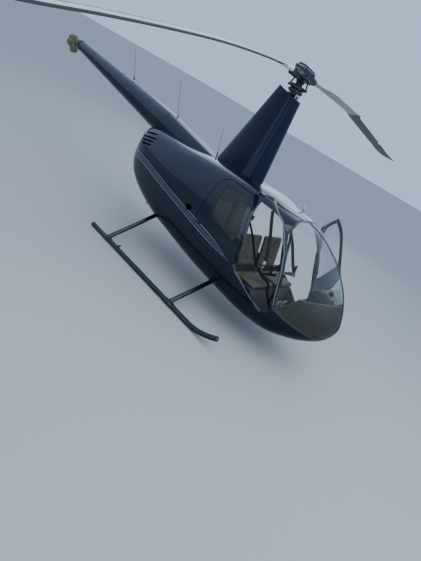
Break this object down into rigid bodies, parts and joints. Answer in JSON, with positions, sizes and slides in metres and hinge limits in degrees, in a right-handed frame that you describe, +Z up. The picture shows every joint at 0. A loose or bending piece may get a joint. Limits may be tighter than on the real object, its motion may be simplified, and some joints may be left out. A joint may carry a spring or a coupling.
{
  "type": "light four-seat piston helicopter, tail surfaces missing",
  "caption": "Dark navy light helicopter on skids with a hollow glazed cabin, swinging doors and a turning main rotor; two doors, the tail rotor and the fins are missing.",
  "frame": {"origin": "on the floor under the middle of the bounding box, 1.5375 m behind the rotor mast", "axes": "+X to the nose, +Y to the left side, +Z up"},
  "size_m": [7.645, 10.0608, 3.31],
  "materials": {
    "navy": "gloss navy paint",
    "glass": "clear acrylic",
    "steel": "satin machined",
    "primer": "olive primer on a casting",
    "black": "matt black",
    "leather": "tan leather",
    "carpet": "brown carpet",
    "grey": "matt grey",
    "blade": "satin dark grey paint"
  },
  "bodies": {
    "airframe": {"skid_left": "navy", "skid_right": "navy", "cross_tube_front": "navy", "cross_tube_rear": "navy", "tail_boom": "navy", "boom_end_ring": "black", "tail_gearbox": "primer", "upper_cowl": "navy", "engine_cowl_left": "navy", "engine_cowl_right": "navy", "tail_cowl": "navy", "nose_bowl": "navy", "belly_shell": "navy", "cabin_frame": "navy", "windscreen_left": "glass", "windscreen_right": "glass", "windscreen_strip": "black", "cabin_floor": "carpet", "rear_bulkhead": "grey", "seat_box_front": "carpet", "seat_cushion_front_left": "leather", "seat_back_front_left": "leather", "seat_cushion_front_right": "leather", "seat_back_front_right": "leather", "seat_box_rear": "carpet", "seat_cushion_rear_left": "leather", "seat_back_rear_left": "leather", "seat_cushion_rear_right": "leather", "seat_back_rear_right": "leather", "console_pedestal": "carpet", "instrument_console": "grey", "pedals_left": "steel", "pedals_right": "steel", "cyclic_stick": "black", "engine_block": "black", "exhaust_pipe": "steel", "mast_fairing": "navy", "mast_tube": "grey", "swashplate": "steel", "aerial_front": "black", "aerial_middle": "black", "aerial_rear": "black", "roof_probe": "steel"},
    "rotor": {"rotor_mast": "steel", "pitch_links": "steel", "rotor_hub": "steel", "rotor_blade_1": "blade", "rotor_blade_2": "blade"},
    "left_front_door": {"door_front_left": "navy", "door_front_left_window": "glass"},
    "right_rear_door": {"door_rear_right": "navy", "door_rear_right_window": "glass"}
  },
  "joints": [
    {"name": "main_rotor", "type": "hinge", "parent": "airframe", "child": "rotor", "pos_m": [1.5375, 0, 3], "axis": [0, 0, 1], "continuous": true},
    {"name": "left_front_door_hinge", "type": "hinge", "parent": "airframe", "child": "left_front_door", "pos_m": [3.1345, 0.54, 0.75], "axis": [-0.4133, 0.0117, 0.9105], "range_deg": [0, 98]},
    {"name": "right_rear_door_hinge", "type": "hinge", "parent": "airframe", "child": "right_rear_door", "pos_m": [2.4375, -0.676, 0.87], "axis": [-0.2728, 0.022, 0.9618], "range_deg": [0, 85]}
  ]
}
